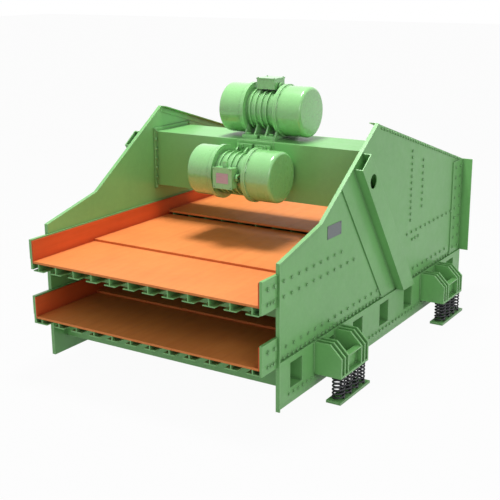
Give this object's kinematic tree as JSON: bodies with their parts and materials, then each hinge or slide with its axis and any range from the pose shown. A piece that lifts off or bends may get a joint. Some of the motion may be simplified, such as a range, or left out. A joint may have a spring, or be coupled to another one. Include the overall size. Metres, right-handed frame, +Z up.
{
  "type": "vibrating sieve",
  "caption": "Double-deck linear vibrating sieve: open steel box with orange screening decks on coil springs, shaken by counter-rotating motors on a cross beam.",
  "frame": {"origin": "on the floor under the middle of the whole machine", "axes": "+X across the machine, +Y from the discharge end to the feed end, +Z up"},
  "size_m": [3.052, 4.255, 2.576],
  "materials": {
    "frame_green": "semi-gloss machine enamel, light green",
    "liner_polyurethane": "matt orange polyurethane wear liners",
    "bolt_steel": "foot bolts painted over with the machine",
    "motor_green": "semi-gloss enamel over cast iron and pressed steel",
    "shaft_steel": "ground shaft",
    "weight_iron": "cast eccentric weights",
    "deck_polyurethane": "matt orange polyurethane screening panels",
    "plate_metal": "bare grey name plate",
    "spring_steel": "charcoal-painted coil springs"
  },
  "bodies": {
    "base": {"base_front_left": "frame_green", "base_front_right": "frame_green", "base_rear_left": "frame_green", "base_rear_right": "frame_green", "springs_front_left": "spring_steel", "springs_front_right": "spring_steel", "springs_rear_left": "spring_steel", "springs_rear_right": "spring_steel"},
    "screen_box": {"back_plate": "frame_green", "bracket_front_left": "frame_green", "bracket_front_right": "frame_green", "bracket_rear_left": "frame_green", "bracket_rear_right": "frame_green", "corner_angle_left": "frame_green", "corner_angle_right": "frame_green", "edge_bar_left": "frame_green", "edge_bar_right": "frame_green", "exciter_beam": "frame_green", "lower_cheek_left": "frame_green", "lower_cheek_right": "frame_green", "lower_cross_tubes": "frame_green", "lower_liner_left": "liner_polyurethane", "lower_liner_right": "liner_polyurethane", "lower_motor_bolts": "bolt_steel", "lower_motor_cover_left": "motor_green", "lower_motor_cover_right": "motor_green", "lower_motor_housing": "motor_green", "lower_motor_terminal_box": "motor_green", "lower_panel_front": "deck_polyurethane", "lower_panel_main": "deck_polyurethane", "lower_stringers": "frame_green", "name_plate": "plate_metal", "side_beam_left": "frame_green", "side_beam_right": "frame_green", "side_plate_left": "frame_green", "side_plate_right": "frame_green", "stiffener_left": "frame_green", "stiffener_right": "frame_green", "top_angle_left": "frame_green", "top_angle_right": "frame_green", "upper_cheek_left": "frame_green", "upper_cheek_right": "frame_green", "upper_cross_tubes": "frame_green", "upper_liner_left": "liner_polyurethane", "upper_liner_right": "liner_polyurethane", "upper_motor_bolts": "bolt_steel", "upper_motor_cover_left": "motor_green", "upper_motor_cover_right": "motor_green", "upper_motor_housing": "motor_green", "upper_motor_terminal_box": "motor_green", "upper_panel_feed": "deck_polyurethane", "upper_panel_front": "deck_polyurethane", "upper_panel_middle": "deck_polyurethane", "upper_stringers": "frame_green"},
    "upper_rotor": {"upper_motor_shaft": "shaft_steel", "upper_motor_weights": "weight_iron"},
    "lower_rotor": {"lower_motor_shaft": "shaft_steel", "lower_motor_weights": "weight_iron"}
  },
  "joints": [
    {"name": "vibration", "type": "slide", "parent": "base", "child": "screen_box", "axis": [0, -0.7071, 0.7071], "range_m": [-0.008, 0.008], "stiffness_N_per_m": 2800000, "springref_m": 0.02799, "deforming": ["springs_front_left", "springs_front_right", "springs_rear_left", "springs_rear_right"]},
    {"name": "upper_rotor_spin", "type": "hinge", "parent": "screen_box", "child": "upper_rotor", "pos_m": [0, 0.0375, 2.264], "axis": [1, 0, 0], "continuous": true},
    {"name": "lower_rotor_spin", "type": "hinge", "parent": "screen_box", "child": "lower_rotor", "pos_m": [0, -0.5245, 1.725], "axis": [1, 0, 0], "continuous": true}
  ],
  "couplings": [
    {"joint": "lower_rotor_spin", "follows": "upper_rotor_spin", "ratio": -1}
  ]
}
